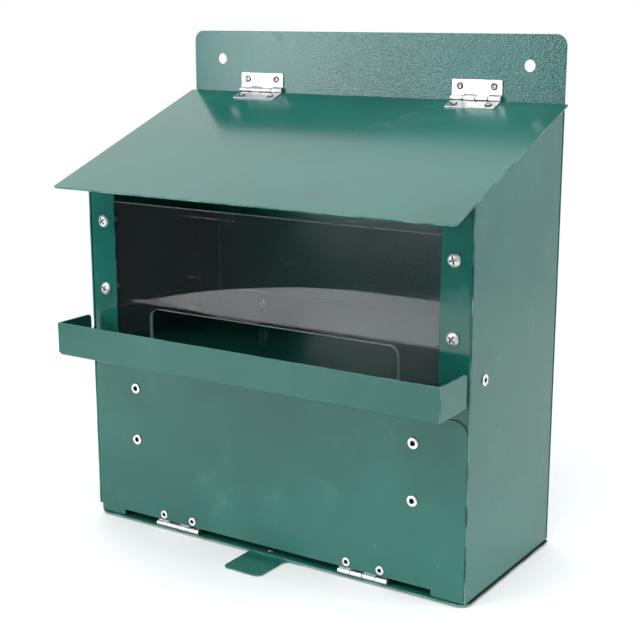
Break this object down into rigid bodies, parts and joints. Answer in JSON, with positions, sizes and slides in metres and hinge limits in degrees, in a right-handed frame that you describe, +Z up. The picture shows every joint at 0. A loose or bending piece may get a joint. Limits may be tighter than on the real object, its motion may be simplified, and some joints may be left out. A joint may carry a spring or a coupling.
{
  "type": "squirrel feeder",
  "caption": "Wall-hung sheet metal squirrel feeder with a sloping hinged lid, clear window, open front tray and hinged bottom door.",
  "frame": {"origin": "on the plane that the feeder stands on, at the middle of its overall width and depth", "axes": "+X to the right seen from the front, +Y towards the wall behind, +Z up"},
  "size_m": [0.3266, 0.1732, 0.3688],
  "materials": {
    "green_paint": "satin powder coat",
    "textured_green_paint": "satin powder coat with a fine hammered texture",
    "clear_pane": "clear polished acrylic",
    "hinge_zinc": "bright zinc plate",
    "pin_steel": "bright drawn steel",
    "bright_rivet": "bright",
    "screw_zinc": "zinc plate",
    "magnet": "dark ferrite in a steel pot"
  },
  "bodies": {
    "cabinet": {"back_plate": "textured_green_paint", "left_side_panel": "green_paint", "right_side_panel": "green_paint", "left_window_post": "green_paint", "right_window_post": "green_paint", "front_panel": "green_paint", "feeding_tray": "green_paint", "window_pane": "clear_pane", "window_screws": "screw_zinc", "window_washers": "screw_zinc", "window_nuts": "screw_zinc", "left_tray_bracket": "green_paint", "right_tray_bracket": "green_paint", "bracket_rivets": "bright_rivet", "tray_side_rivets": "bright_rivet", "tray_rear_rivets": "bright_rivet", "left_lid_hinge_fixed_leaf": "hinge_zinc", "right_lid_hinge_fixed_leaf": "hinge_zinc", "left_lid_hinge_pin": "pin_steel", "right_lid_hinge_pin": "pin_steel", "lid_hinge_rear_rivets": "bright_rivet", "left_door_hinge_fixed_leaf": "hinge_zinc", "right_door_hinge_fixed_leaf": "hinge_zinc", "left_door_hinge_pin": "pin_steel", "right_door_hinge_pin": "pin_steel", "door_hinge_front_rivets": "bright_rivet", "catch_bracket": "green_paint", "catch_magnet": "magnet", "catch_magnet_rivet": "bright_rivet", "catch_bracket_rivets": "bright_rivet"},
    "lid": {"lid_panel": "green_paint", "left_lid_hinge_moving_leaf": "hinge_zinc", "right_lid_hinge_moving_leaf": "hinge_zinc", "lid_hinge_lid_rivets": "bright_rivet"},
    "door": {"bottom_door": "green_paint", "pull_tab": "green_paint", "pull_tab_rivet": "bright_rivet", "left_door_hinge_moving_leaf": "hinge_zinc", "right_door_hinge_moving_leaf": "hinge_zinc", "door_hinge_door_rivets": "bright_rivet"}
  },
  "joints": [
    {"name": "lid_hinge", "type": "hinge", "parent": "cabinet", "child": "lid", "pos_m": [0, 0.0832, 0.32378], "axis": [-1, 0, 0], "range_deg": [0, 112]},
    {"name": "door_hinge", "type": "hinge", "parent": "cabinet", "child": "door", "pos_m": [0, -0.0474, 0.0046], "axis": [-1, 0, 0], "range_deg": [0, 90]}
  ]
}
